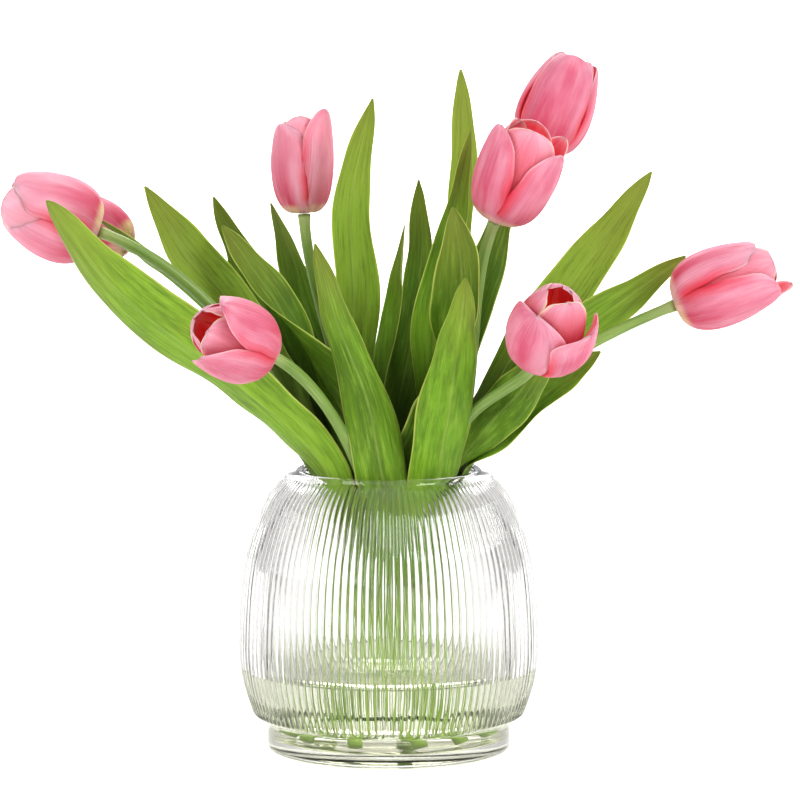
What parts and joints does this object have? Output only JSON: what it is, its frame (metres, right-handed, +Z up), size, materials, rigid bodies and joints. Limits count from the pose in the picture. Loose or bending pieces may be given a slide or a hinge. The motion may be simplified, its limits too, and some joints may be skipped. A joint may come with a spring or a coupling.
{
  "type": "tulips in a vase",
  "caption": "Cut pink tulips with broad green leaves, leaning out of a round ribbed glass vase of water.",
  "frame": {"origin": "middle of the flat underside of the vase, on the surface it stands on", "axes": "+Z up, -Y to the front, +X to the right as seen from the front"},
  "size_m": [0.4451, 0.2219, 0.3929],
  "materials": {
    "glass": "clear pressed glass",
    "water": "clear still water",
    "stem": "smooth, faint bloom",
    "leaf": "satin, finely veined",
    "tepal": "satin, finely streaked",
    "pistil": "matt"
  },
  "bodies": {
    "root": {"vase": "glass", "water": "water", "tulip_a_stem": "stem", "tulip_a_leaf_1": "leaf", "tulip_a_leaf_2": "leaf", "tulip_a_bloom": "tepal", "tulip_a_pistil": "pistil", "tulip_b_stem": "stem", "tulip_b_leaf_1": "leaf", "tulip_b_leaf_2": "leaf", "tulip_b_bloom": "tepal", "tulip_b_pistil": "pistil", "tulip_c_stem": "stem", "tulip_c_leaf_1": "leaf", "tulip_c_leaf_2": "leaf", "tulip_c_leaf_3": "leaf", "tulip_c_bloom": "tepal", "tulip_c_pistil": "pistil", "tulip_d_stem": "stem", "tulip_d_leaf_1": "leaf", "tulip_d_leaf_2": "leaf", "tulip_d_leaf_3": "leaf", "tulip_d_bloom": "tepal", "tulip_d_pistil": "pistil", "tulip_e_stem": "stem", "tulip_e_leaf_1": "leaf", "tulip_e_leaf_2": "leaf", "tulip_e_leaf_3": "leaf", "tulip_e_bloom": "tepal", "tulip_e_pistil": "pistil", "tulip_f_stem": "stem", "tulip_f_leaf_1": "leaf", "tulip_f_leaf_2": "leaf", "tulip_f_leaf_3": "leaf", "tulip_f_bloom": "tepal", "tulip_f_pistil": "pistil", "tulip_g_stem": "stem", "tulip_g_leaf_1": "leaf", "tulip_g_leaf_2": "leaf", "tulip_g_bloom": "tepal", "tulip_g_pistil": "pistil", "tulip_h_stem": "stem", "tulip_h_leaf_1": "leaf", "tulip_h_leaf_2": "leaf", "tulip_h_bloom": "tepal", "tulip_h_pistil": "pistil"}
  },
  "joints": []
}
